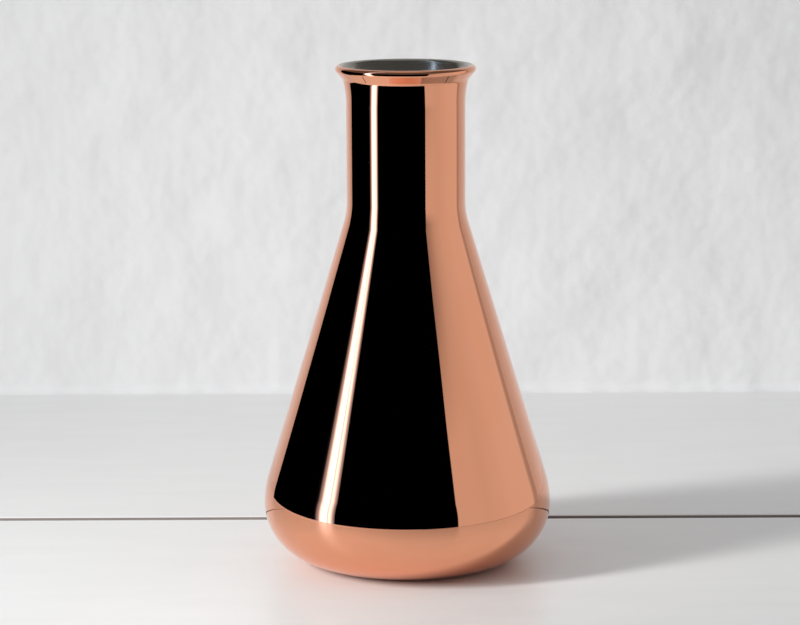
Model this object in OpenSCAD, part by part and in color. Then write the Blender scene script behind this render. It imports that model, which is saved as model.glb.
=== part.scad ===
// Double-walled conical flask with a rolled lip.
// A copper-faced outer shell and a steel liner meet along the crown of the lip.
// Millimetres, +Z up. The origin is on the axis, on the surface the flask stands on.

/* [Body] */
// Height from the standing surface to the crown of the lip
height = 236; // [200:1:300]
// Diameter at the widest line
body_d = 136; // [110:1:170]
// Height of the widest line above the standing surface
widest_z = 28; // [22:0.5:36]
// Angle between the cone's wall and the axis
slope = 16.9; // [12:0.1:20]
// Radius of the curve from the widest line into the cone
shoulder_r = 45.4; // [30:0.2:60]
// Diameter at which the bowl flattens into its sole
sole_d = 75.4; // [72:0.2:90]

/* [Neck and lip] */
// Outside diameter of the neck
neck_d = 55.6; // [44:0.2:68]
// Radius of the hollow curve from the cone into the neck
neck_blend_r = 34.8; // [20:0.2:50]
// Radius of the flare under the lip
flare_r = 45; // [20:0.5:60]
// Angle from the axis that the flare reaches where its tight curl begins
flare_turn = 14; // [8:0.5:18]
// Radius of the tight curl between the flare and the lip
curl_r = 3; // [2:0.1:5]
// Angle from the axis at which the curl runs straight on to the lip
curl_turn = 40; // [30:1:50]
// Distance that the flare carries the lip's centre outside the neck
flare_out = 3.1; // [2:0.1:5]
// Thickness of the rolled lip
lip_d = 3.7; // [2.7:0.1:4.4]

/* [Walls] */
// Sheet thickness of the outer shell
shell_t = 0.6; // [0.5:0.05:0.75]
// Sheet thickness of the liner
liner_t = 0.5; // [0.4:0.05:0.6]
// Space between the shells round the body
body_gap = 5; // [3:0.5:8]
// Space between the shells round the neck
neck_gap = 2.2; // [1.5:0.1:3]
// Space between the shells over the base
base_gap = 5; // [4:0.5:8]
// Radius of the hollow curve from the liner's cone into its neck
liner_blend_r = 30; // [20:0.5:45]
// Radius of the liner's flare inside the mouth
liner_flare_r = 66; // [50:1:80]
// Radius at which the liner's bowl flattens into its floor
liner_floor_r = 40; // [30:0.5:44]

/* [Underside] */
// Outside diameter of the foot ring
ring_d = 70; // [66:0.5:71]
// Radial width of the foot ring
ring_w = 6; // [4:0.5:8]
// Thickness of the foot ring
ring_t = 1; // [0.8:0.1:1.4]
// Distance that the foot ring stands below the sole
ring_proud = 0.4; // [0.3:0.1:0.6]
// Side clearance of the foot ring and of the bottom cap
side_clear = 0.2; // [0.1:0.05:0.4]
// Height of the bowl's sunk panel above the standing surface
panel_z = 3.2; // [3:0.1:5]
// Width of the ledge between the foot ring and the sunk panel
ledge_w = 1; // [0.6:0.1:2]
// Sheet thickness of the bottom cap
cap_t = 0.6; // [0.5:0.1:0.8]
// Height of the bottom cap's face above the standing surface
cap_z = 1; // [0.6:0.1:1.2]
// Diameter of the pump-out port
port_d = 3; // [2:0.5:5]
// Diameter of the glass drop that seals the port
drop_d = 8; // [7:0.5:12]
// Thickness of the glass drop below the panel
drop_h = 0.9; // [0.6:0.1:1]

/* [Getter] */
// Diameter of the getter pan
getter_d = 12; // [8:0.5:16]
// Depth of the getter pan
getter_h = 1.6; // [1:0.1:2.2]
// Thickness of the getter's strap
strap_t = 0.3; // [0.2:0.05:0.5]
// Length of the getter's strap
strap_l = 22; // [18:0.5:28]
// Width of the getter's strap
strap_w = 4; // [3:0.5:6]
// Distance of the getter from the axis
getter_x = 20; // [16:0.5:24]

/* [Hidden] */
$fn = 120;

copper = [0.86, 0.52, 0.38];
steel = [0.62, 0.62, 0.61];
rubber = [0.16, 0.16, 0.17];
solder_glass = [0.35, 0.42, 0.36];

// One point of a large curve for about this many degrees, and of the lip
step_a = 3;
lip_step_a = 10;

body_r = body_d / 2;
neck_r = neck_d / 2;
sole_r = sole_d / 2;
lip_r = lip_d / 2;

// Centre of the rolled lip's section
lip_c = [neck_r + flare_out, height - lip_r];
// The shoulder curves of both shells share one centre
shoulder_c = [body_r - shoulder_r, widest_z];

// Where each shell's neck wall lies
liner_neck_r = neck_r - shell_t - neck_gap;
bore_r = liner_neck_r - liner_t;
// How far the liner's outer face lies inside the outer face of the flask
liner_in = shell_t + body_gap;
liner_floor_z = panel_z + shell_t + base_gap;

// Where the straight flank under the lip touches the lip's round section
flank_end = lip_c + lip_r * [cos(curl_turn), -sin(curl_turn)];
// Where the curl ends and the flank begins
curl_end_r = neck_r + flare_r * (1 - cos(flare_turn))
             + curl_r * (cos(flare_turn) - cos(curl_turn));
curl_end = [curl_end_r, flank_end.y - (flank_end.x - curl_end_r) / tan(curl_turn)];
// Centre of the curl, and the height at which the flare begins
curl_c = curl_end + curl_r * [cos(curl_turn), -sin(curl_turn)];
flare_z = curl_c.y + (curl_r - flare_r) * sin(flare_turn);
// Angle at which the liner's flare runs into the lip
liner_flare_a = acos((bore_r + liner_flare_r - lip_c.x) / (liner_flare_r - lip_r));
liner_flare_z = lip_c.y - (liner_flare_r - lip_r) * sin(liner_flare_a);

ring_r = ring_d / 2;
ledge_r = ring_r - ring_w - ledge_w;
cap_r = ledge_r - side_clear;

function reversed(list) = [for (i = [len(list) - 1 : -1 : 0]) list[i]];

// Points of an arc about centre c with radius r, from angle a0 to angle a1
function arc(c, r, a0, a1, step = step_a) =
    let (n = max(2, ceil(abs(a1 - a0) / step)))
    [for (i = [0 : n]) let (a = a0 + (a1 - a0) * i / n) c + r * [cos(a), sin(a)]];

// Height at which a cone of this slope, tangent to the shoulder arc, reaches radius r
function cone_z(arc_r, r) =
    shoulder_c.y + arc_r * sin(slope)
    + (shoulder_c.x + arc_r * cos(slope) - r) / tan(slope);

// Shoulder, cone and neck of one shell: a face that lies `off` inside a shell
// whose own outer face has the given shoulder radius, neck radius and blend
function wall_line(arc_r, r_neck, blend_r, off) =
    let (z_blend = cone_z(arc_r, r_neck) + blend_r * tan(slope / 2))
    concat(arc(shoulder_c, arc_r - off, 0, slope),
           arc([r_neck + blend_r, z_blend], blend_r + off, 180 + slope, 180));

function outer_line(off) =
    concat(wall_line(shoulder_r, neck_r, neck_blend_r, off),
           arc([neck_r + flare_r, flare_z], flare_r + off, 180, 180 - flare_turn),
           arc(curl_c, curl_r + off, 180 - flare_turn, 180 - curl_turn, lip_step_a));

function liner_line(off) =
    concat(wall_line(shoulder_r - liner_in, liner_neck_r, liner_blend_r, off),
           arc([bore_r + liner_flare_r, liner_flare_z],
               liner_flare_r - liner_t + off, 180, 180 - liner_flare_a),
           arc(lip_c, lip_r - liner_t + off, 180 - liner_flare_a, 90, lip_step_a));

// Quarter ellipse from the widest line [r0, z0] down to the flat at [r1, z1],
// moved inwards along its own normal by `off`
function bowl_line(r0, z0, r1, z1, off) =
    let (a = r0 - r1, b = z0 - z1, n = ceil(90 / step_a))
    [for (i = [0 : n])
        let (u = 90 - 90 * i / n,
             nr = sin(u) / a,
             nz = -cos(u) / b,
             len_n = sqrt(nr * nr + nz * nz))
        [r1 + a * sin(u) - off * nr / len_n, z0 - b * cos(u) - off * nz / len_n]];

// Neck, flare and cone of the outer shell, with the outer half of the lip
module outer_body()
    color(copper)
    rotate_extrude()
    polygon(concat(
        outer_line(0),
        arc(lip_c, lip_r, -curl_turn, 90, lip_step_a),
        arc(lip_c, lip_r - shell_t, 90, -curl_turn, lip_step_a),
        reversed(outer_line(shell_t))));

// Lower bowl of the outer shell, welded edge to edge to the body at the widest line.
// Its sole has a groove for the foot ring and a sunk panel with the pump-out port.
module outer_bowl()
    color(copper)
    rotate_extrude()
    polygon(concat(
        bowl_line(body_r, widest_z, sole_r, ring_proud, 0),
        [[ring_r + side_clear, ring_proud],
         [ring_r + side_clear, ring_t],
         [ledge_r, ring_t],
         [ledge_r, panel_z],
         [port_d / 2, panel_z],
         [port_d / 2, panel_z + shell_t],
         [ledge_r + shell_t, panel_z + shell_t],
         [ledge_r + shell_t, ring_t + shell_t],
         [ring_r + side_clear + shell_t, ring_t + shell_t],
         [ring_r + side_clear + shell_t, ring_proud + shell_t]],
        reversed(bowl_line(body_r, widest_z, sole_r, ring_proud, shell_t))));

// Shallow cap that covers the port; its skirt seats on the sunk panel
module bottom_cap()
    color(copper)
    rotate_extrude()
    polygon([[0, cap_z],
             [cap_r - cap_t, cap_z],
             [cap_r, cap_z + cap_t],
             [cap_r, panel_z],
             [cap_r - cap_t, panel_z],
             [cap_r - cap_t, cap_z + cap_t],
             [0, cap_z + cap_t]]);

// Non-slip ring in the groove of the sole; the flask stands on it
module foot_ring()
    color(rubber)
    rotate_extrude()
    translate([ring_r - ring_w, 0])
    square([ring_w, ring_t]);

// Neck and cone of the liner; its edge is rolled over to the crown of the lip
module liner_body()
    color(steel)
    rotate_extrude()
    polygon(concat(liner_line(0), reversed(liner_line(liner_t))));

// Lower bowl of the liner, welded to the liner's body at the widest line
module liner_bowl()
    color(steel)
    rotate_extrude()
    polygon(concat(
        bowl_line(body_r - liner_in, widest_z, liner_floor_r, liner_floor_z, 0),
        [[0, liner_floor_z], [0, liner_floor_z + liner_t]],
        reversed(bowl_line(body_r - liner_in, widest_z, liner_floor_r, liner_floor_z, liner_t))));

// Getter that keeps the vacuum: a strap spot-welded under the liner, and a pan below it
module getter()
    color(steel)
    translate([getter_x, 0, liner_floor_z - strap_t])
    union() {
        translate([-strap_l / 2, -strap_w / 2, 0])
        cube([strap_l, strap_w, strap_t]);
        translate([0, 0, -getter_h])
        cylinder(d = getter_d, h = getter_h);
    }

// Glass drop that closes the port: a plug in the hole and a domed bead under it
module port_seal()
    color(solder_glass)
    rotate_extrude()
    polygon(concat(
        [[0, panel_z + shell_t],
         [port_d / 2, panel_z + shell_t],
         [port_d / 2, panel_z]],
        [for (u = [90 : -lip_step_a : 0])
            [drop_d / 2 * sin(u), panel_z - drop_h * cos(u)]]));

outer_body();
outer_bowl();
bottom_cap();
foot_ring();
liner_body();
liner_bowl();
getter();
port_seal();
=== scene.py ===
"""Visual model of a double-walled conical flask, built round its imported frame.

A copper-faced outer shell and a steel liner meet along the crown of a rolled lip.
Every shell is a line in the radius-height plane, carried round the axis. The lines
are made of arcs, straights and quarter ellipses, and their normals are exact, so a
mirror finish shows no facets. Lengths are metres, +Z is up, and the origin is on the
axis, on the surface that the flask stands on.
"""

import math

import bmesh
import bpy
import numpy as np
from bpy.props import FloatProperty, FloatVectorProperty, PointerProperty
from bpy.types import Operator, Panel, PropertyGroup
from mathutils import Matrix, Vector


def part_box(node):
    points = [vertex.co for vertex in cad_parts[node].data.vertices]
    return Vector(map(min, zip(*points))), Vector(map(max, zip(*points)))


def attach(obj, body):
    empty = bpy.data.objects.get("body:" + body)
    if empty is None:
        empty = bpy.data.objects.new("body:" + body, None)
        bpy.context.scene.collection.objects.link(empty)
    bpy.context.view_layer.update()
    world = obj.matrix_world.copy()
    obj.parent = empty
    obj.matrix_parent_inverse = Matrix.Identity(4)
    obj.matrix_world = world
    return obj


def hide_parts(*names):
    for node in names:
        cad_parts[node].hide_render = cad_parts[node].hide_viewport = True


bl_info = {
    "name": "Conical Flask",
    "version": (1, 0, 0),
    "blender": (4, 5, 0),
    "location": "View3D > Sidebar > Flask",
    "description": "Builds a double-walled copper flask round its packed frame",
    "category": "Add Mesh",
}

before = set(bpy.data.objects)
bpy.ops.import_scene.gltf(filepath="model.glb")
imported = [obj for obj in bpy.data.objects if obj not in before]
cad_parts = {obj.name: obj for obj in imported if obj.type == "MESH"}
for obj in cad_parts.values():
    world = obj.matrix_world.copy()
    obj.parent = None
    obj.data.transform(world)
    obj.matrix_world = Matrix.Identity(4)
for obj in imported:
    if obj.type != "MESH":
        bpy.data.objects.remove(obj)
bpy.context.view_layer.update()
BODY_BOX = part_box("outer_body")
RING_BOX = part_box("foot_ring")

# Steps round the axis in every turned piece
SEGMENTS = 288


# Settings


def length(name, description, default):
    """A size in metres, shown in the scene's own unit of length."""
    return FloatProperty(
        name=name,
        description=description,
        default=default,
        min=0.0,
        precision=4,
        subtype="DISTANCE",
        unit="LENGTH",
    )


def angle(name, description, default):
    """An angle, given in degrees and kept in radians."""
    return FloatProperty(
        name=name,
        description=description,
        default=math.radians(default),
        min=0.0,
        max=math.radians(80),
        subtype="ANGLE",
        unit="ROTATION",
    )


def tint(name, description, default):
    """A colour, as linear red, green and blue."""
    return FloatVectorProperty(
        name=name,
        description=description,
        default=default,
        min=0.0,
        max=1.0,
        size=3,
        subtype="COLOR",
    )


def share(name, description, default, high=1.0):
    """A plain number from 0 to its highest value."""
    return FloatProperty(
        name=name,
        description=description,
        default=default,
        min=0.0,
        max=high,
        precision=3,
        subtype="FACTOR",
    )


class FlaskShape(PropertyGroup):
    """Sizes of the outside: body, neck and lip."""

    height: length("Height", "From the standing surface to the crown of the lip", BODY_BOX[1].z)
    body_d: length("Body diameter", "Across the widest line", 2 * BODY_BOX[1].x)
    widest_z: length("Widest height", "Height of the widest line", BODY_BOX[0].z)
    slope: angle("Slope", "Angle between the cone's wall and the axis", 16.9)
    shoulder_r: length("Shoulder radius", "Curve from the widest line into the cone", 0.0454)
    sole_d: length("Sole diameter", "Where the bowl flattens into its sole", 0.0754)
    neck_d: length("Neck diameter", "Outside of the straight neck", 0.0556)
    neck_blend_r: length("Neck curve", "Hollow curve from the cone into the neck", 0.0348)
    flare_r: length("Flare radius", "Curve of the flare under the lip", 0.045)
    flare_turn: angle("Flare angle", "From the axis, where the tight curl begins", 14.0)
    curl_r: length("Curl radius", "Tight curl between the flare and the lip", 0.003)
    curl_turn: angle("Flank angle", "From the axis, of the flank under the lip", 40.0)
    flare_out: length("Flare reach", "From the neck's wall out to the lip's centre", 0.0031)
    lip_d: length("Lip thickness", "Thickness of the rolled lip", 0.0037)


class FlaskWalls(PropertyGroup):
    """Sheet thicknesses, the space between the shells, and the underside."""

    shell_t: length("Shell sheet", "Thickness of the outer shell", 0.0006)
    liner_t: length("Liner sheet", "Thickness of the liner", 0.0005)
    body_gap: length("Body space", "Space between the shells round the body", 0.005)
    neck_gap: length("Neck space", "Space between the shells round the neck", 0.0022)
    base_gap: length("Base space", "Space between the shells over the base", 0.005)
    liner_blend_r: length("Liner neck curve", "Hollow curve from the liner's cone", 0.030)
    liner_flare_r: length("Mouth flare", "Curve of the liner inside the mouth", 0.066)
    liner_floor_r: length("Liner floor radius", "Where the liner's bowl flattens", 0.040)
    ring_d: length("Foot ring diameter", "Outside of the foot ring", 2 * RING_BOX[1].x)
    ring_w: length("Foot ring width", "Radial width of the foot ring", 0.006)
    ring_t: length("Foot ring thickness", "Thickness of the foot ring", RING_BOX[1].z)
    ring_proud: length("Foot ring stand", "Distance it stands below the sole", 0.0004)
    side_clear: length("Side clearance", "Round the foot ring and the bottom cap", 0.0002)
    panel_z: length("Panel height", "Height of the bowl's sunk panel", 0.0032)
    ledge_w: length("Ledge width", "Between the foot ring and the sunk panel", 0.001)
    cap_t: length("Cap sheet", "Thickness of the bottom cap", 0.0006)
    cap_z: length("Cap height", "Height of the bottom cap's face", 0.001)
    port_d: length("Port diameter", "Diameter of the pump-out port", 0.003)


class FlaskFinish(PropertyGroup):
    """Colours and finishes of the flask."""

    copper: tint("Copper", "Colour of the copper plating", (0.900, 0.405, 0.245))
    copper_blur: share("Copper blur", "How far the copper blurs what it mirrors", 0.022)
    steel: tint("Steel", "Colour of the liner", (0.42, 0.395, 0.35))
    steel_blur: share("Steel blur", "How far the liner blurs what it mirrors", 0.2)
    rubber: tint("Rubber", "Colour of the foot ring", (0.030, 0.030, 0.032))
    getter: tint("Getter", "Colour of the getter and its strap", (0.36, 0.355, 0.35))
    glass: tint("Solder glass", "Colour of the drop that seals the port", (0.30, 0.36, 0.31))


class FlaskStage(PropertyGroup):
    """Colours and light of the studio."""

    floor: tint("Floor", "Colour of the painted boards", (0.84, 0.84, 0.835))
    wall: tint("Wall", "Colour of the painted wall", (0.88, 0.885, 0.892))
    sky: share("Room light", "Strength of the even light from all round", 0.42, 4.0)
    key: share("Key light", "Power of the soft light on the left, in watts", 2.7, 100.0)
    glow: share("Copper glow", "Power of the pink light by the base, in watts", 0.011, 10.0)
    wall_y: length("Wall distance", "From the axis back to the wall", 0.387)
    groove_y: length("Groove distance", "From the axis back to the groove", 0.0775)
    groove_w: length("Groove width", "Width of the groove between the boards", 0.0062)
    groove_d: length("Groove depth", "Depth of the groove between the boards", 0.012)
    # Darker colour inside the groove between the boards
    groove_dark: tint("Groove", "Colour inside the groove", (0.36, 0.32, 0.30))
    screen_r: length("Screen radius", "From the axis to the ring of screens", 0.322)
    screen_h: length("Screen height", "Height of the ring of screens", 0.95)


# Lines in the radius-height plane


def arc(centre, radius, start, end, step=2.0):
    """Points centre + radius * (cos a, sin a) for a from start to end, in degrees.

    Their normals are the unit vectors (cos a, sin a).
    """
    count = max(2, math.ceil(abs(end - start) / step)) + 1
    a = np.radians(np.linspace(start, end, count))
    unit = np.column_stack((np.cos(a), np.sin(a)))
    return np.asarray(centre) + radius * unit, unit


def straight(start, end, count=2):
    """Points start + t * (end - start) for t from 0 to 1, with one normal for all.

    The normal is the line's direction turned a quarter turn to its right.
    """
    p, q = np.asarray(start, float), np.asarray(end, float)
    t = np.linspace(0.0, 1.0, count)[:, None]
    d = (q - p) / np.hypot(*(q - p))
    return p + t * (q - p), np.tile((d[1], -d[0]), (count, 1))


def bowl(top, foot, inset, step=2.0):
    """Quarter ellipse from the widest line `top` down to the flat at `foot`.

    The point at angle u is (foot.r + a sin u, top.z - b cos u), for u from 90 to 0
    degrees, with a and b the two half axes. Its normal is (sin u / a, -cos u / b),
    made unit length, and the whole line is moved `inset` against that normal.
    """
    a, b = top[0] - foot[0], top[1] - foot[1]
    u = np.radians(np.linspace(90.0, 0.0, math.ceil(90.0 / step) + 1))
    normal = np.column_stack((np.sin(u) / a, -np.cos(u) / b))
    normal /= np.linalg.norm(normal, axis=1)[:, None]
    point = np.column_stack((foot[0] + a * np.sin(u), top[1] - b * np.cos(u)))
    return point - inset * normal, normal


def backwards(line):
    """The same points in the other order."""
    return line[0][::-1], line[1][::-1]


def joined(*lines):
    """Runs lines one after another and fills any step between them with a straight.

    Gives the points, and for each span between two points the normals at both of
    its ends. A normal is turned to the side on the right of the way the line runs,
    which is the outside of a shape whose outline runs anticlockwise.
    """
    points, first, last = [], [], []
    for place, normal in lines:
        if points:
            gap = np.hypot(*(place[0] - points[-1]))
            if gap > 1e-7:
                filler = straight(points[-1], place[0])
                points.append(place[0])
                first.append(filler[1][:1])
                last.append(filler[1][1:])
        else:
            points.append(place[0])
        run = np.diff(place, axis=0)
        side = np.column_stack((run[:, 1], -run[:, 0]))
        sign_a = np.where((side * normal[:-1]).sum(1) < 0, -1.0, 1.0)[:, None]
        sign_b = np.where((side * normal[1:]).sum(1) < 0, -1.0, 1.0)[:, None]
        points.extend(place[1:])
        first.append(normal[:-1] * sign_a)
        last.append(normal[1:] * sign_b)
    return np.array(points), np.vstack(first), np.vstack(last)


def turned(name, lines, closed):
    """A solid of revolution about the Z axis.

    The point (r, z) of the line becomes (r cos t, r sin t, z) for t in SEGMENTS even
    steps round the circle. A closed outline joins its last point to its first. An
    open one starts and ends on the axis, where the ring is one point, the pole.
    """
    if closed:
        lines = [*lines, straight(lines[-1][0][-1], lines[0][0][0])]
    points, n_first, n_last = joined(*lines)
    if closed:
        points = points[:-1]
    rings, spans = len(points), len(n_first)
    t = 2 * np.pi * np.arange(SEGMENTS) / SEGMENTS
    spoke = np.column_stack((np.cos(t), np.sin(t)))
    grid = np.empty((rings, SEGMENTS, 3))
    grid[:, :, :2] = points[:, None, :1] * spoke
    grid[:, :, 2] = points[:, 1:]
    index = np.arange(rings * SEGMENTS).reshape(rings, SEGMENTS)
    i = np.arange(spans)
    below, above = index[i], index[(i + 1) % rings]
    quads = np.stack((below, np.roll(below, -1, 1), np.roll(above, -1, 1), above), 2)
    around = np.roll(spoke, -1, 0)

    def facing(normal, direction):
        """Normal (nr, nz) at the spoke (c, s) is (nr c, nr s, nz)."""
        out = np.empty((spans, SEGMENTS, 3))
        out[:, :, :2] = normal[:, None, :1] * direction
        out[:, :, 2] = normal[:, 1:]
        return out

    corners = (
        facing(n_first, spoke),
        facing(n_first, around),
        facing(n_last, around),
        facing(n_last, spoke),
    )
    normals = np.stack(corners, 2)
    faces, face_normals = list(quads.reshape(-1, 4)), list(normals.reshape(-1, 4, 3))
    if not closed:
        faces, face_normals = with_poles(quads, normals, index)
    vertices = grid.reshape(-1, 3)
    mesh = bpy.data.meshes.new(name)
    mesh.from_pydata(vertices, [], faces)
    if not closed:
        drop_spare_points(mesh)
    mesh.shade_smooth()
    mesh.normals_split_custom_set(np.concatenate(face_normals).reshape(-1, 3))
    mesh.update()
    piece = bpy.data.objects.new(name, mesh)
    bpy.context.scene.collection.objects.link(piece)
    return piece


def with_poles(quads, normals, index):
    """Turns the first and last rows of quads into fans about one point each."""
    start, end = index[0, 0], index[-1, 0]
    low = np.column_stack((np.full(SEGMENTS, start), quads[0, :, 2], quads[0, :, 3]))
    high = np.column_stack((quads[-1, :, 0], quads[-1, :, 1], np.full(SEGMENTS, end)))
    faces = [*low, *quads[1:-1].reshape(-1, 4), *high]
    low_n = normals[0][:, [0, 2, 3]]
    high_n = normals[-1][:, [0, 1, 2]]
    face_normals = [*low_n, *normals[1:-1].reshape(-1, 4, 3), *high_n]
    return faces, face_normals


def drop_spare_points(mesh):
    """Removes the points of the two pole rings that no face uses."""
    shape = bmesh.new()
    shape.from_mesh(mesh)
    spare = [v for v in shape.verts if not v.link_faces]
    bmesh.ops.delete(shape, geom=spare, context="VERTS")
    shape.to_mesh(mesh)
    shape.free()


# Outlines of the shells


def cone_height(shape, arc_r, r):
    """Height at which the cone that touches the shoulder arc reaches radius r."""
    centre = shape.body_d / 2 - shape.shoulder_r
    rise = (centre + arc_r * math.cos(shape.slope) - r) / math.tan(shape.slope)
    return shape.widest_z + arc_r * math.sin(shape.slope) + rise


def wall(shape, arc_r, neck_r, blend_r, inset):
    """Shoulder arc, cone and hollow arc into the neck, `inset` inside a shell's face."""
    slope = math.degrees(shape.slope)
    blend_z = cone_height(shape, arc_r, neck_r) + blend_r * math.tan(shape.slope / 2)
    shoulder = (shape.body_d / 2 - shape.shoulder_r, shape.widest_z)
    neck = (neck_r + blend_r, blend_z)
    return [
        arc(shoulder, arc_r - inset, 0, slope, 1.0),
        arc(neck, blend_r + inset, 180 + slope, 180, 1.0),
    ]


def lip_centre(shape):
    """Centre of the rolled lip's round section."""
    return (shape.neck_d / 2 + shape.flare_out, shape.height - shape.lip_d / 2)


def outer_wall(shape, inset):
    """The outer shell from the widest line to the end of the curl under the lip.

    The flare's arc, the curl's arc and the straight flank that touches the lip's
    round section run into each other with no corner.
    """
    neck_r = shape.neck_d / 2
    lip, lip_r = lip_centre(shape), shape.lip_d / 2
    turn, curl = shape.flare_turn, shape.curl_turn
    flank = (lip[0] + lip_r * math.cos(curl), lip[1] - lip_r * math.sin(curl))
    end_r = neck_r + shape.flare_r * (1 - math.cos(turn))
    end_r += shape.curl_r * (math.cos(turn) - math.cos(curl))
    end_z = flank[1] - (flank[0] - end_r) / math.tan(curl)
    centre = (end_r + shape.curl_r * math.cos(curl), end_z - shape.curl_r * math.sin(curl))
    flare_z = centre[1] + (shape.curl_r - shape.flare_r) * math.sin(turn)
    turn, curl = math.degrees(turn), math.degrees(curl)
    return [
        *wall(shape, shape.shoulder_r, neck_r, shape.neck_blend_r, inset),
        arc((neck_r + shape.flare_r, flare_z), shape.flare_r + inset, 180, 180 - turn, 0.7),
        arc(centre, shape.curl_r + inset, 180 - turn, 180 - curl, 2.0),
    ]


def liner_wall(shape, walls, inset):
    """The liner from its widest line up the bore, round the flare to the lip's crown."""
    neck_r = shape.neck_d / 2 - walls.shell_t - walls.neck_gap
    bore_r = neck_r - walls.liner_t
    lip_r = shape.lip_d / 2
    centre = lip_centre(shape)
    reach = walls.liner_flare_r - lip_r
    turn = math.acos((bore_r + walls.liner_flare_r - centre[0]) / reach)
    flare_c = (bore_r + walls.liner_flare_r, centre[1] - reach * math.sin(turn))
    turn = math.degrees(turn)
    arc_r = shape.shoulder_r - walls.shell_t - walls.body_gap
    return [
        *wall(shape, arc_r, neck_r, walls.liner_blend_r, inset),
        arc(flare_c, walls.liner_flare_r - walls.liner_t + inset, 180, 180 - turn, 0.8),
        arc(centre, lip_r - walls.liner_t + inset, 180 - turn, 90, 4.0),
    ]


def outer_body_lines(shape, walls):
    """Up the outside, over the lip to its crown, and back down the inside."""
    lip_r = shape.lip_d / 2
    centre, low = lip_centre(shape), -math.degrees(shape.curl_turn)
    inner = [backwards(line) for line in reversed(outer_wall(shape, walls.shell_t))]
    return [
        *outer_wall(shape, 0.0),
        arc(centre, lip_r, low, 90, 3.0),
        arc(centre, lip_r - walls.shell_t, 90, low, 5.0),
        *inner,
    ]


def outer_bowl_lines(shape, walls):
    """The bowl and its sole, with the groove for the foot ring and the sunk panel."""
    top, foot = (shape.body_d / 2, shape.widest_z), (shape.sole_d / 2, walls.ring_proud)
    groove = walls.ring_d / 2 + walls.side_clear
    ledge = walls.ring_d / 2 - walls.ring_w - walls.ledge_w
    port, t = walls.port_d / 2, walls.shell_t
    low, deep, panel = walls.ring_proud, walls.ring_t, walls.panel_z
    corners = [
        (groove, low),
        (groove, deep),
        (ledge, deep),
        (ledge, panel),
        (port, panel),
        (port, panel + t),
        (ledge + t, panel + t),
        (ledge + t, deep + t),
        (groove + t, deep + t),
        (groove + t, low + t),
    ]
    steps = [straight(p, q) for p, q in zip(corners[:-1], corners[1:])]
    outside = bowl(top, foot, 0.0, 1.5)
    inside = backwards(bowl(top, foot, t, 1.5))
    return [backwards(line) for line in reversed([outside, *steps, inside])]


def liner_body_lines(shape, walls):
    """Up the liner's outer face and down its inner face."""
    inner = [backwards(line) for line in reversed(liner_wall(shape, walls, walls.liner_t))]
    return [*liner_wall(shape, walls, 0.0), *inner]


def liner_bowl_lines(shape, walls):
    """From the axis under the liner's floor, up to the widest line, and back inside."""
    top = (shape.body_d / 2 - walls.shell_t - walls.body_gap, shape.widest_z)
    floor_z = walls.panel_z + walls.shell_t + walls.base_gap
    foot, t = (walls.liner_floor_r, floor_z), walls.liner_t
    return [
        straight((0.0, floor_z), foot, 3),
        backwards(bowl(top, foot, 0.0, 2.0)),
        bowl(top, foot, t, 2.0),
        straight((walls.liner_floor_r, floor_z + t), (0.0, floor_z + t), 3),
    ]


def foot_ring_lines(walls):
    """A flat ring whose edges are rounded on a small arc."""
    outer, inner = walls.ring_d / 2, walls.ring_d / 2 - walls.ring_w
    r, top = 0.25 * walls.ring_t, walls.ring_t
    return [
        arc((outer - r, r), r, -90, 0, 15.0),
        arc((outer - r, top - r), r, 0, 90, 15.0),
        arc((inner + r, top - r), r, 90, 180, 15.0),
        arc((inner + r, r), r, 180, 270, 15.0),
    ]


def bottom_cap_lines(walls):
    """A shallow dish turned over: its face, a rounded edge, its skirt and its inside."""
    t, low, top = walls.cap_t, walls.cap_z, walls.panel_z
    r = walls.ring_d / 2 - walls.ring_w - walls.ledge_w - walls.side_clear
    return [
        straight((0.0, low), (r - t, low), 4),
        arc((r - t, low + t), t, -90, 0, 9.0),
        straight((r, low + t), (r, top)),
        straight((r, top), (r - t, top)),
        straight((r - t, top), (r - t, low + t)),
        straight((r - t, low + t), (0.0, low + t), 4),
    ]


# Materials


def material(name):
    """An empty node material with its output; gives the material and its tree."""
    made = bpy.data.materials.new(name)
    made.use_nodes = True
    made.node_tree.nodes.clear()
    return made, made.node_tree


def put(tree, kind, **values):
    """Adds a node and sets its properties or, with a name that starts in_, an input."""
    node = tree.nodes.new(kind)
    for key, value in values.items():
        if key.startswith("in_"):
            node.inputs[key[3:].replace("_", " ")].default_value = value
        else:
            setattr(node, key, value)
    return node


def surface(tree, colour, metallic, roughness):
    """A Principled shader wired to the output, with constants on its own sockets."""
    out = put(tree, "ShaderNodeOutputMaterial")
    shader = put(tree, "ShaderNodeBsdfPrincipled")
    shader.inputs["Base Color"].default_value = (*colour, 1.0)
    shader.inputs["Metallic"].default_value = metallic
    shader.inputs["Roughness"].default_value = roughness
    tree.links.new(shader.outputs["BSDF"], out.inputs["Surface"])
    return shader


def scaled_place(tree, scale):
    """The point in the object's own space, stretched along each axis by `scale`."""
    place = put(tree, "ShaderNodeTexCoord")
    stretch = put(tree, "ShaderNodeMapping")
    stretch.inputs["Scale"].default_value = scale
    tree.links.new(place.outputs["Object"], stretch.inputs["Vector"])
    return stretch.outputs["Vector"]


def noise(tree, vector, scale, detail):
    """Value of a noise field at a point."""
    field = put(tree, "ShaderNodeTexNoise", in_Scale=scale, in_Detail=detail)
    tree.links.new(vector, field.inputs["Vector"])
    return field.outputs["Fac"]


def spread(tree, value, low, high):
    """A value near its middle, spread over the range from low to high."""
    node = put(tree, "ShaderNodeMapRange", in_From_Min=0.3, in_From_Max=0.7)
    node.inputs["To Min"].default_value = low
    node.inputs["To Max"].default_value = high
    tree.links.new(value, node.inputs["Value"])
    return node.outputs["Result"]


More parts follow.
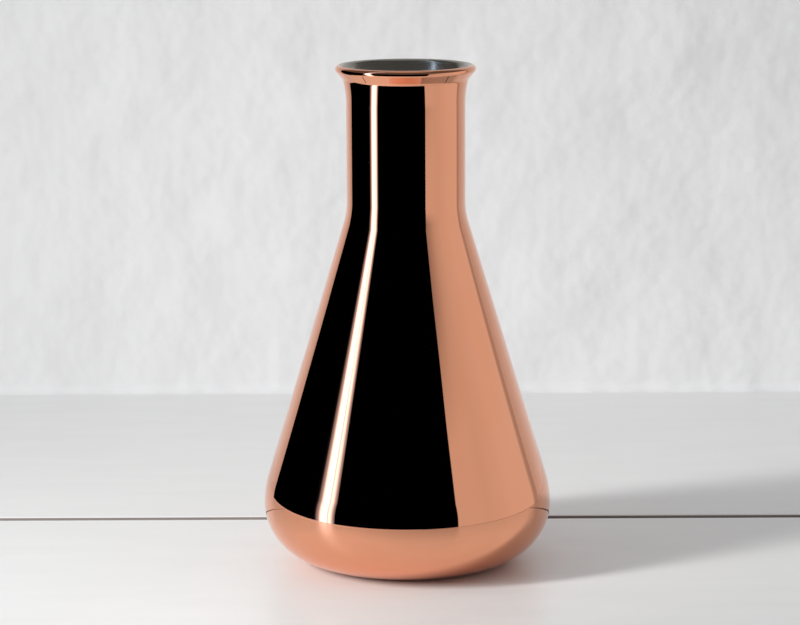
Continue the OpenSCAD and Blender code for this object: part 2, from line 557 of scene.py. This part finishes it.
def two_tone(tree, value, low, high):
    """Colour that goes from `low` to `high` with a value."""
    mix = put(tree, "ShaderNodeMix", data_type="RGBA")
    mix.inputs[6].default_value = (*low, 1.0)
    mix.inputs[7].default_value = (*high, 1.0)
    tree.links.new(value, mix.inputs["Factor"])
    return mix.outputs[2]


def raised(tree, shader, value, strength, height):
    """Relief of a given height, in metres, from a value."""
    bump = put(tree, "ShaderNodeBump", in_Strength=strength, in_Distance=height)
    tree.links.new(value, bump.inputs["Height"])
    tree.links.new(bump.outputs["Normal"], shader.inputs["Normal"])


def rings_place(tree, scale):
    """(distance from the axis, 0, height), scaled: a pattern that runs in rings."""
    place = put(tree, "ShaderNodeTexCoord")
    parts = put(tree, "ShaderNodeSeparateXYZ")
    flat = put(tree, "ShaderNodeCombineXYZ")
    reach = put(tree, "ShaderNodeVectorMath", operation="LENGTH")
    both = put(tree, "ShaderNodeCombineXYZ")
    size = put(tree, "ShaderNodeVectorMath", operation="SCALE")
    size.inputs["Scale"].default_value = scale
    link = tree.links.new
    link(place.outputs["Object"], parts.inputs["Vector"])
    link(parts.outputs["X"], flat.inputs["X"])
    link(parts.outputs["Y"], flat.inputs["Y"])
    link(flat.outputs["Vector"], reach.inputs[0])
    link(reach.outputs["Value"], both.inputs["X"])
    link(parts.outputs["Z"], both.inputs["Z"])
    link(both.outputs["Vector"], size.inputs[0])
    return size.outputs["Vector"]


def shaded(colour, factor):
    """A colour made darker or lighter by a factor."""
    return tuple(min(1.0, c * factor) for c in colour)


def mirror_copper(look):
    """Mirror copper plating: slight clouds in tint and gloss, over a very calm sheet."""
    made, tree = material("mirror_copper")
    shader = surface(tree, look.copper, 1.0, look.copper_blur)
    clouds = noise(tree, scaled_place(tree, (1, 1, 0.6)), 38.0, 3.0)
    wipe = noise(tree, scaled_place(tree, (1, 1, 3.0)), 160.0, 4.0)
    deep = (look.copper[0] * 0.985, look.copper[1] * 0.96, look.copper[2] * 0.94)
    tone = two_tone(tree, spread(tree, clouds, 0.0, 1.0), deep, look.copper)
    tree.links.new(tone, shader.inputs["Base Color"])
    gloss = spread(tree, wipe, look.copper_blur * 0.6, look.copper_blur * 1.5)
    tree.links.new(gloss, shader.inputs["Roughness"])
    raised(tree, shader, clouds, 0.10, 0.00004)
    return made


def turned_steel(look):
    """Polished steel with fine marks in rings, left by the spinning lathe."""
    made, tree = material("turned_steel")
    shader = surface(tree, look.steel, 1.0, look.steel_blur)
    marks = noise(tree, rings_place(tree, 1.0), 1500.0, 5.0)
    clouds = noise(tree, scaled_place(tree, (1, 1, 1)), 45.0, 3.0)
    tone = two_tone(tree, spread(tree, clouds, 0.0, 1.0), shaded(look.steel, 0.9), look.steel)
    tree.links.new(tone, shader.inputs["Base Color"])
    gloss = spread(tree, marks, look.steel_blur * 0.7, look.steel_blur * 1.4)
    tree.links.new(gloss, shader.inputs["Roughness"])
    raised(tree, shader, marks, 0.5, 0.00003)
    return made


def matt_rubber(look):
    """Matt rubber with a fine even grain and a dusting of paler wear."""
    made, tree = material("matt_rubber")
    shader = surface(tree, look.rubber, 0.0, 0.75)
    grain = noise(tree, scaled_place(tree, (1, 1, 1)), 2600.0, 3.0)
    dust = noise(tree, scaled_place(tree, (1, 1, 1)), 180.0, 5.0)
    tone = two_tone(tree, spread(tree, dust, 0.0, 1.0), look.rubber, shaded(look.rubber, 1.9))
    tree.links.new(tone, shader.inputs["Base Color"])
    tree.links.new(spread(tree, grain, 0.62, 0.85), shader.inputs["Roughness"])
    raised(tree, shader, grain, 0.5, 0.00008)
    return made


def sintered_metal(look):
    """Dull pressed powder metal: coarse grain and uneven grey."""
    made, tree = material("sintered_metal")
    shader = surface(tree, look.getter, 1.0, 0.5)
    grain = noise(tree, scaled_place(tree, (1, 1, 1)), 1800.0, 6.0)
    tone = two_tone(tree, spread(tree, grain, 0.0, 1.0), shaded(look.getter, 0.6), look.getter)
    tree.links.new(tone, shader.inputs["Base Color"])
    tree.links.new(spread(tree, grain, 0.42, 0.62), shader.inputs["Roughness"])
    raised(tree, shader, grain, 0.5, 0.00006)
    return made


def fused_glass(look):
    """Solder glass: a glossy, cloudy grey-green drop."""
    made, tree = material("fused_glass")
    shader = surface(tree, look.glass, 0.0, 0.12)
    shader.inputs["IOR"].default_value = 1.6
    clouds = noise(tree, scaled_place(tree, (1, 1, 1)), 700.0, 3.0)
    tone = two_tone(tree, spread(tree, clouds, 0.0, 1.0), shaded(look.glass, 0.65), look.glass)
    tree.links.new(tone, shader.inputs["Base Color"])
    tree.links.new(spread(tree, clouds, 0.08, 0.2), shader.inputs["Roughness"])
    return made


def finish_with(piece, made, slot, *nodes):
    """Gives a piece its material and its body, and hides the nodes that it stands for; `slot` is not
    used.
    """
    piece.data.materials.clear()
    piece.data.materials.append(made)
    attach(piece, "root")
    if nodes:
        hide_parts(*nodes)


def shared(name, maker, look):
    """The material of that name, made the first time that it is asked for."""
    return bpy.data.materials.get(name) or maker(look)


# Stage


def one_sided(tree, shader, out):
    """Shows a stage surface from its front only, so that no view is blocked by it."""
    side = put(tree, "ShaderNodeNewGeometry")
    clear = put(tree, "ShaderNodeBsdfTransparent")
    mix = put(tree, "ShaderNodeMixShader")
    tree.links.new(side.outputs["Backfacing"], mix.inputs["Fac"])
    tree.links.new(shader, mix.inputs[1])
    tree.links.new(clear.outputs["BSDF"], mix.inputs[2])
    tree.links.new(mix.outputs["Shader"], out)


def painted(name, colour, roughness, lumps, scale, detail, height):
    """Pale paint over an uneven ground; `lumps` stretches the ground's relief."""
    made, tree = material(name)
    shader = surface(tree, colour, 0.0, roughness)
    place = scaled_place(tree, lumps)
    broad = noise(tree, place, scale, detail)
    tone = two_tone(tree, spread(tree, broad, 0.0, 1.0), shaded(colour, 0.965), colour)
    tree.links.new(tone, shader.inputs["Base Color"])
    raised(tree, shader, broad, 1.0, height)
    out = next(n for n in tree.nodes if n.type == "OUTPUT_MATERIAL")
    one_sided(tree, shader.outputs["BSDF"], out.inputs["Surface"])
    return made


def sheet_of(name, points, made):
    """A surface on a grid of points, of shape (rows, columns, 3)."""
    rows, columns = points.shape[:2]
    index = np.arange(rows * columns).reshape(rows, columns)
    quads = np.stack((index[:-1, :-1], index[:-1, 1:], index[1:, 1:], index[1:, :-1]), 2)
    mesh = bpy.data.meshes.new(name)
    mesh.from_pydata(points.reshape(-1, 3), [], quads.reshape(-1, 4))
    mesh.materials.append(made)
    mesh.update()
    made_object = bpy.data.objects.new(name, mesh)
    bpy.context.scene.collection.objects.link(made_object)
    return made_object


def boards(look):
    """Two painted boards with a narrow rounded groove, dark inside, between them.

    The height is 0, less the groove's depth where y is within half its width of its
    middle. The edges of the boards are broken by a small slope.
    """
    middle, half, depth = look.groove_y, look.groove_w / 2, look.groove_d
    slope = 0.0006
    edge = np.array([-1.6, -0.8, -0.4, 0.0, middle - half - slope, middle - half])
    far = np.array([middle + half, middle + half + slope, 0.2, look.wall_y + 0.001])
    y = np.concatenate((edge, [middle - half, middle + half], far))
    z = np.concatenate((np.zeros(5), [-0.0004, -depth, -depth, -0.0004], np.zeros(3)))
    x = np.linspace(-1.7, 1.7, 9)
    points = np.empty((len(y), len(x), 3))
    points[:, :, 0] = x
    points[:, :, 1] = y[:, None]
    points[:, :, 2] = z[:, None]
    made = painted("floor_paint", look.floor, 0.34, (0.25, 1, 1), 55.0, 4.0, 0.00025)
    floor = sheet_of("floor", points, made)
    # The faces inside the groove get their own darker colour
    groove_dark = painted("groove_darker", look.groove_dark, 0.9, (1, 1, 1), 90.0, 3.0, 0.0005)
    floor.data.materials.append(groove_dark)
    for face in floor.data.polygons:
        if face.center.z < -0.001:
            face.material_index = 1
    return floor


def backdrop(look):
    """A painted wall behind, that meets the floor in a small hollow curve."""
    turn = np.radians(np.linspace(0, 90, 7))
    r = 0.006
    y = np.concatenate((look.wall_y - r + r * np.sin(turn), [look.wall_y] * 2))
    z = np.concatenate((r - r * np.cos(turn), [0.8, 1.7]))
    x = np.linspace(-1.7, 1.7, 9)
    points = np.empty((len(y), len(x), 3))
    points[:, :, 0] = x
    points[:, :, 1] = y[:, None]
    points[:, :, 2] = z[:, None]
    made = painted("wall_paint", look.wall, 0.6, (1, 1, 0.9), 20.0, 3.0, 0.0062)
    return sheet_of("wall", points, made)


def glow_round(azimuth, near):
    """Brightness of the ring of screens, by azimuth in degrees from the front.

    Black cloth from -125 to 36, broken by one tall lamp from -71 to -53 with fading
    edges and a fine dark bar, and a white card from 36 to 118 whose near edge has
    the brightness `near` and whose far edge is dim.
    """
    at = (-125, -73, -70.5, -69.3, -67.3, -65.7, -62.0, -60.4, -59.6)
    level = (0, 0, 0.01, 0.25, 0.65, 2.3, 3.6, 3.2, 1.3)
    at += (-58.6, -57.2, -55.5, -54.0, -53.3, 36.0)
    level += (2.5, 2.3, 0.8, 0.3, 0, 0)
    at += (36.5, 50, 62, 85, 110, 113, 118)
    level += (near, 0.35 * near + 0.45, 0.67, 0.74, 0.74, 0.42, 0.42)
    return np.interp(azimuth, at, level)


def screens(look):
    """Ring of studio screens, seen only in mirrors.

    The point at azimuth a and height z is (R sin a, -R cos a, z). Each point holds
    its light, bluish for the lamp, which the material reads. A pale foot rail runs under the
    cloth on the left, and above a third of a metre all is dim but the lamp's tip.
    """
    azimuth = np.linspace(-125, 118, 973)
    z = np.array([0.0, 0.0012, 0.0013, 0.155, 0.24, 0.33, 0.34, 0.60, look.screen_h])
    a = np.radians(azimuth)
    points = np.empty((len(z), len(azimuth), 3))
    points[:, :, 0] = look.screen_r * np.sin(a)
    points[:, :, 1] = -look.screen_r * np.cos(a)
    points[:, :, 2] = z[:, None]
    level = np.stack([glow_round(azimuth, 0.68 if height < 0.2 else 0.33) for height in z])
    level[:2] = np.where(azimuth < 10, 0.9, 0.3)
    level[6:] = np.where(np.abs(azimuth + 62) < 2.0, 3.0, 0.13)
    level[7:] *= 0.8
    made, tree = material("screen_glow")
    out = put(tree, "ShaderNodeOutputMaterial")
    light = put(tree, "ShaderNodeEmission")
    value = put(tree, "ShaderNodeAttribute", attribute_name="glow")
    tree.links.new(value.outputs["Color"], light.inputs["Color"])
    tree.links.new(light.outputs["Emission"], out.inputs["Surface"])
    made.cycles.emission_sampling = "NONE"
    ring = sheet_of("screens", points, made)
    lamp = np.abs(azimuth[:, None] + 62) < 12
    tone = np.where(lamp, (0.88, 1.1, 1.45, 1.0), (1.0, 0.985, 0.965, 1.0))
    glow = ring.data.attributes.new("glow", "FLOAT_COLOR", "POINT")
    glow.data.foreach_set("color", (level[:, :, None] * tone).reshape(-1).astype(np.float32))
    ring.visible_camera = False
    ring.visible_diffuse = False
    ring.visible_shadow = False
    return ring


def soft_lamp(name, place, aim, size, power):
    """An area lamp at `place` that faces `aim` and isn't seen, not even in mirrors."""
    data = bpy.data.lights.new(name, "AREA")
    data.shape = "RECTANGLE"
    data.size, data.size_y = size
    data.energy = power
    data.spread = math.radians(70)
    lamp = bpy.data.objects.new(name, data)
    bpy.context.scene.collection.objects.link(lamp)
    lamp.location = place
    way = np.asarray(aim) - np.asarray(place)
    yaw = math.atan2(way[0], -way[1])
    pitch = math.acos(-way[2] / np.linalg.norm(way))
    lamp.rotation_euler = (pitch, 0.0, yaw + math.pi)
    lamp.visible_glossy = False
    lamp.visible_camera = False
    return lamp


def room_light(look):
    """Even pale light from all round."""
    world = bpy.data.worlds.new("room")
    world.use_nodes = True
    back = world.node_tree.nodes["Background"]
    back.inputs["Color"].default_value = (0.99, 0.995, 1.0, 1.0)
    back.inputs["Strength"].default_value = look.sky
    bpy.context.scene.world = world


def camera():
    """A long lens a little above the mouth's height, looking slightly down."""
    data = bpy.data.cameras.new("camera")
    data.sensor_width = 36.0
    data.lens = 130.5
    data.shift_x = -0.0082
    data.clip_end = 20.0
    eye = bpy.data.objects.new("camera", data)
    bpy.context.scene.collection.objects.link(eye)
    eye.location = (0.0, -1.3453, 0.3617)
    tilt = Matrix.Rotation(math.radians(90 - 10.224), 3, "X")
    roll = Matrix.Rotation(math.radians(-0.235), 3, "Z")
    eye.rotation_euler = (tilt @ roll).to_euler()
    bpy.context.scene.camera = eye
    bpy.context.scene.view_settings.view_transform = "Standard"


# Operators


class FLASK_OT_outer_shell(Operator):
    """Makes the copper outer shell: neck and cone with half of the lip, and the bowl"""

    bl_idname = "flask.outer_shell"
    bl_label = "Outer shell"

    def execute(self, context):
        scene = context.scene
        shape, walls = scene.flask_shape, scene.flask_walls
        copper = shared("mirror_copper", mirror_copper, scene.flask_finish)
        body = turned("outer_shell_body", outer_body_lines(shape, walls), True)
        finish_with(body, copper, "copper_plate", "outer_body")
        low = turned("outer_shell_bowl", outer_bowl_lines(shape, walls), True)
        finish_with(low, copper, "copper_plate", "outer_bowl")
        return {"FINISHED"}


class FLASK_OT_liner(Operator):
    """Makes the steel liner: neck and cone with the other half of the lip, and its bowl"""

    bl_idname = "flask.liner"
    bl_label = "Liner"

    def execute(self, context):
        scene = context.scene
        shape, walls = scene.flask_shape, scene.flask_walls
        steel = shared("turned_steel", turned_steel, scene.flask_finish)
        body = turned("steel_liner_body", liner_body_lines(shape, walls), True)
        finish_with(body, steel, "liner_steel", "liner_body")
        low = turned("steel_liner_bowl", liner_bowl_lines(shape, walls), False)
        finish_with(low, steel, "liner_steel", "liner_bowl")
        return {"FINISHED"}


class FLASK_OT_underside(Operator):
    """Makes the rubber foot ring and the copper cap inside it"""

    bl_idname = "flask.underside"
    bl_label = "Foot ring and cap"

    def execute(self, context):
        scene = context.scene
        walls, look = scene.flask_walls, scene.flask_finish
        ring = turned("rubber_foot_ring", foot_ring_lines(walls), True)
        finish_with(ring, shared("matt_rubber", matt_rubber, look), "foot_rubber", "foot_ring")
        cap = turned("copper_bottom_cap", bottom_cap_lines(walls), False)
        copper = shared("mirror_copper", mirror_copper, look)
        finish_with(cap, copper, "copper_plate", "bottom_cap")
        return {"FINISHED"}


class FLASK_OT_vacuum_parts(Operator):
    """Gives the getter and the port's glass drop, between the shells, their finishes"""

    bl_idname = "flask.vacuum_parts"
    bl_label = "Getter and port seal"

    def execute(self, context):
        look = context.scene.flask_finish
        pairs = (
            ("getter", shared("sintered_metal", sintered_metal, look)),
            ("port_seal", shared("fused_glass", fused_glass, look)),
        )
        for name, made in pairs:
            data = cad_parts[name].data
            if not data.materials:
                data.materials.append(made)
            for i in range(len(data.materials)):
                data.materials[i] = made
        return {"FINISHED"}


class FLASK_OT_stage(Operator):
    """Makes the painted floor and wall, the screens, the lights and the camera"""

    bl_idname = "flask.stage"
    bl_label = "Stage"

    def execute(self, context):
        look = context.scene.flask_stage
        boards(look)
        backdrop(look)
        screens(look)
        soft_lamp("key", (-0.96, -0.49, 0.53), (0.0, 0.02, 0.05), (0.16, 0.6), look.key)
        glow = soft_lamp("copper_glow", (-0.17, -0.2, 0.1), (-0.04, -0.06, 0), (0.07, 0.07), look.glow)
        glow.data.color = (1.0, 0.78, 0.7)
        room_light(look)
        camera()
        return {"FINISHED"}


BUILDERS = (
    FLASK_OT_outer_shell,
    FLASK_OT_liner,
    FLASK_OT_underside,
    FLASK_OT_vacuum_parts,
    FLASK_OT_stage,
)
GROUPS = (
    ("flask_shape", FlaskShape),
    ("flask_walls", FlaskWalls),
    ("flask_finish", FlaskFinish),
    ("flask_stage", FlaskStage),
)


class FLASK_PT_panel(Panel):
    """Lists the flask's settings and its builders"""

    bl_idname = "FLASK_PT_panel"
    bl_label = "Flask"
    bl_space_type = "VIEW_3D"
    bl_region_type = "UI"
    bl_category = "Flask"

    def draw(self, context):
        for holder, group in GROUPS:
            box = self.layout.box()
            for name in group.__annotations__:
                box.prop(getattr(context.scene, holder), name)
        for builder in BUILDERS:
            self.layout.operator(builder.bl_idname)


def register():
    for holder, group in GROUPS:
        bpy.utils.register_class(group)
        setattr(bpy.types.Scene, holder, PointerProperty(type=group))
    for builder in (*BUILDERS, FLASK_PT_panel):
        bpy.utils.register_class(builder)


def unregister():
    for builder in reversed((*BUILDERS, FLASK_PT_panel)):
        bpy.utils.unregister_class(builder)
    for holder, group in reversed(GROUPS):
        delattr(bpy.types.Scene, holder)
        bpy.utils.unregister_class(group)


def main():
    register()
    bpy.ops.flask.outer_shell()
    bpy.ops.flask.liner()
    bpy.ops.flask.underside()
    bpy.ops.flask.vacuum_parts()
    bpy.ops.flask.stage()


if __name__ == "__main__":
    main()
